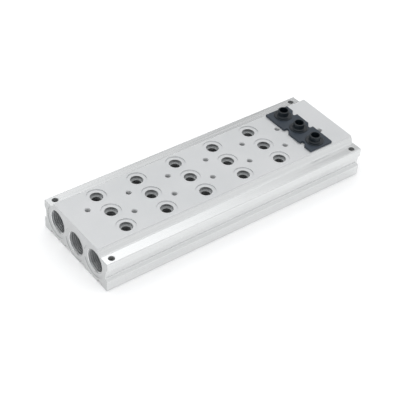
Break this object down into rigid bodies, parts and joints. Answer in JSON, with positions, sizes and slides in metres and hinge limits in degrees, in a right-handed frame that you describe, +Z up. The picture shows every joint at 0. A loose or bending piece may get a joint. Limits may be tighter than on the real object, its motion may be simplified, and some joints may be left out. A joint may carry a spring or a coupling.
{
  "type": "pneumatic valve manifold rail",
  "caption": "Extruded aluminium manifold rail for a bank of pneumatic valves, with stepped ports on top, threaded supply and exhaust channels, and a nipple carrier fitted at one station.",
  "frame": {"origin": "middle of the underside: half way along the rail and half way across it, in the plane of the feet", "axes": "+X along the rail towards the station with the nipple carrier, +Y across the rail, +Z up out of the valve seat"},
  "size_m": [0.2086, 0.0724, 0.0332],
  "materials": {
    "rail": "matt natural anodised",
    "carrier": "fine moulded satin",
    "nipple": "fine moulded satin",
    "seal": "dull nitrile rubber"
  },
  "bodies": {
    "root": {"carrier_plate": "carrier", "hollow_nipple_far": "nipple", "hollow_nipple_middle": "nipple", "hollow_nipple_near": "nipple", "manifold_rail": "rail", "seal_ring_far": "seal", "seal_ring_middle": "seal", "seal_ring_near": "seal"}
  },
  "joints": []
}
